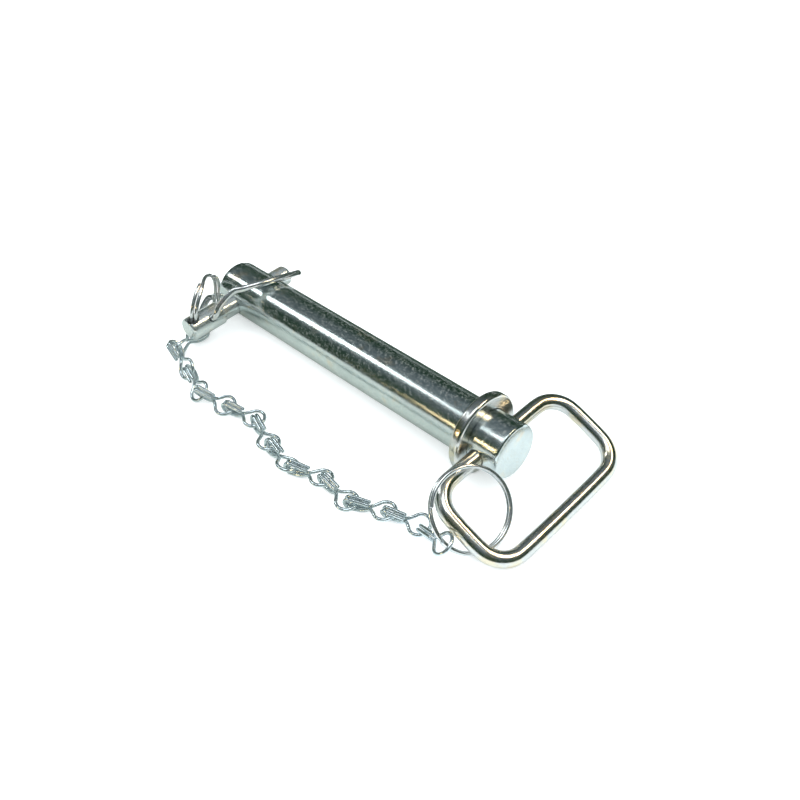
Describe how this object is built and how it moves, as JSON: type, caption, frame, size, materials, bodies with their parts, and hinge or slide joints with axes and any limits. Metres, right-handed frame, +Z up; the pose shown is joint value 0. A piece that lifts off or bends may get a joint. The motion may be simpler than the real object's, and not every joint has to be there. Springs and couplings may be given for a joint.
{
  "type": "hitch pin lock",
  "caption": "Collared hitch pin with a swinging bail handle, held by a chained linch pin with a snap ring through its far end.",
  "frame": {"origin": "on the floor, under the middle of the whole object as it lies", "axes": "+X along the pin from its far end to its head, +Z up from the floor that it lies on, chain on the -Y side"},
  "size_m": [0.2252, 0.1064, 0.0375],
  "materials": {
    "zinc_pin_steel": "bright zinc plate, fine turned grain",
    "zinc_handle_steel": "zinc plate with a faint warm tint",
    "zinc_ring_wire": "zinc-plated drawn wire",
    "zinc_chain_wire": "zinc-plated drawn wire, bluish"
  },
  "bodies": {
    "pin": {"pin_body": "zinc_pin_steel", "collar": "zinc_handle_steel"},
    "bail": {"bail_handle": "zinc_handle_steel"},
    "linch_pin": {"linch_pin_body": "zinc_pin_steel"},
    "snap_ring": {"linch_snap_ring": "zinc_ring_wire"},
    "linch_ring": {"linch_split_ring": "zinc_ring_wire"},
    "link_01": {"chain_link_01": "zinc_chain_wire"},
    "link_02": {"chain_link_02": "zinc_chain_wire"},
    "link_03": {"chain_link_03": "zinc_chain_wire"},
    "link_04": {"chain_link_04": "zinc_chain_wire"},
    "link_05": {"chain_link_05": "zinc_chain_wire"},
    "link_06": {"chain_link_06": "zinc_chain_wire"},
    "link_07": {"chain_link_07": "zinc_chain_wire"},
    "link_08": {"chain_link_08": "zinc_chain_wire"},
    "link_09": {"chain_link_09": "zinc_chain_wire"},
    "link_10": {"chain_link_10": "zinc_chain_wire"},
    "link_11": {"chain_link_11": "zinc_chain_wire"},
    "link_12": {"chain_link_12": "zinc_chain_wire"},
    "handle_ring": {"handle_split_ring": "zinc_ring_wire"}
  },
  "joints": [
    {"name": "bail_swing", "type": "hinge", "parent": "pin", "child": "bail", "pos_m": [0.07194, 0.0103, 0.01911], "axis": [0, -1, 0], "range_deg": [0, 60]},
    {"name": "linch_pull", "type": "slide", "parent": "pin", "child": "linch_pin", "axis": [0, -1, 0], "range_m": [0, 0.036]},
    {"name": "snap_ring_flip", "type": "hinge", "parent": "linch_pin", "child": "snap_ring", "pos_m": [-0.09015, -0.0172, 0.01293], "axis": [0.8221, 0, 0.5693], "range_deg": [0, 90.1]},
    {"name": "linch_ring_swing", "type": "hinge", "parent": "linch_pin", "child": "linch_ring", "pos_m": [-0.09015, -0.0252, 0.01293], "axis": [0, 0, 1], "range_deg": [0, 11.7]},
    {"name": "link_01_swing", "type": "hinge", "parent": "linch_ring", "child": "link_01", "pos_m": [-0.0932, -0.0222, 0.00539], "axis": [0, 0, 1], "range_deg": [-4, 4]},
    {"name": "link_02_swing", "type": "hinge", "parent": "link_01", "child": "link_02", "pos_m": [-0.09011, -0.03462, 0.0055], "axis": [0, 0, 1], "range_deg": [-4.1, 4.1]},
    {"name": "link_04_swing", "type": "hinge", "parent": "link_03", "child": "link_04", "pos_m": [-0.06038, -0.04606, 0.00381], "axis": [0, 0, 1], "range_deg": [-8, 8]},
    {"name": "link_03_swing", "type": "hinge", "parent": "link_02", "child": "link_03", "pos_m": [-0.07654, -0.04131, 0.00484], "axis": [0, 0, 1], "range_deg": [-4.1, 4.1]},
    {"name": "link_05_swing", "type": "hinge", "parent": "link_04", "child": "link_05", "pos_m": [-0.04376, -0.04379, 0.00389], "axis": [0, 0, 1], "range_deg": [-4.1, 4.1]},
    {"name": "link_07_swing", "type": "hinge", "parent": "link_06", "child": "link_07", "pos_m": [-0.01105, -0.04514, 0.00384], "axis": [0, 0, 1], "range_deg": [-12, 12]},
    {"name": "link_06_swing", "type": "hinge", "parent": "link_05", "child": "link_06", "pos_m": [-0.02723, -0.04019, 0.00376], "axis": [0, 0, 1], "range_deg": [-6.1, 6.1]},
    {"name": "link_08_swing", "type": "hinge", "parent": "link_07", "child": "link_08", "pos_m": [0.00561, -0.04808, 0.00433], "axis": [0, 0, 1], "range_deg": [-6.1, 6.1]},
    {"name": "link_10_swing", "type": "hinge", "parent": "link_09", "child": "link_10", "pos_m": [0.03869, -0.04451, 0.00373], "axis": [0, 0, 1], "range_deg": [-12, 12]},
    {"name": "link_09_swing", "type": "hinge", "parent": "link_08", "child": "link_09", "pos_m": [0.02181, -0.04336, 0.00403], "axis": [0, 0, 1], "range_deg": [-6.1, 6.1]},
    {"name": "link_11_swing", "type": "hinge", "parent": "link_10", "child": "link_11", "pos_m": [0.05437, -0.03817, 0.00423], "axis": [0, 0, 1], "range_deg": [-6.1, 6.1]},
    {"name": "link_12_swing", "type": "hinge", "parent": "link_11", "child": "link_12", "pos_m": [0.07091, -0.03466, 0.00593], "axis": [0, 0, 1], "range_deg": [-11.7, 0]},
    {"name": "handle_ring_swing", "type": "hinge", "parent": "link_12", "child": "handle_ring", "pos_m": [0.08855, -0.037, 0.01073], "axis": [0.5592, -0.8188, 0.1298], "range_deg": [0, 28]}
  ],
  "couplings": [
    {"joint": "snap_ring_flip", "follows": "linch_pull", "rad_per_m": 43.633},
    {"joint": "linch_ring_swing", "follows": "linch_pull", "rad_per_m": 5.6238},
    {"joint": "link_02_swing", "follows": "link_01_swing", "ratio": -1},
    {"joint": "link_03_swing", "follows": "link_04_swing", "ratio": -0.5},
    {"joint": "link_05_swing", "follows": "link_04_swing", "ratio": -0.5},
    {"joint": "link_06_swing", "follows": "link_07_swing", "ratio": -0.5},
    {"joint": "link_08_swing", "follows": "link_07_swing", "ratio": -0.5},
    {"joint": "link_09_swing", "follows": "link_10_swing", "ratio": -0.5},
    {"joint": "link_11_swing", "follows": "link_10_swing", "ratio": -0.5},
    {"joint": "link_12_swing", "follows": "linch_pull", "rad_per_m": -5.6238},
    {"joint": "handle_ring_swing", "follows": "bail_swing", "ratio": 0.465}
  ]
}
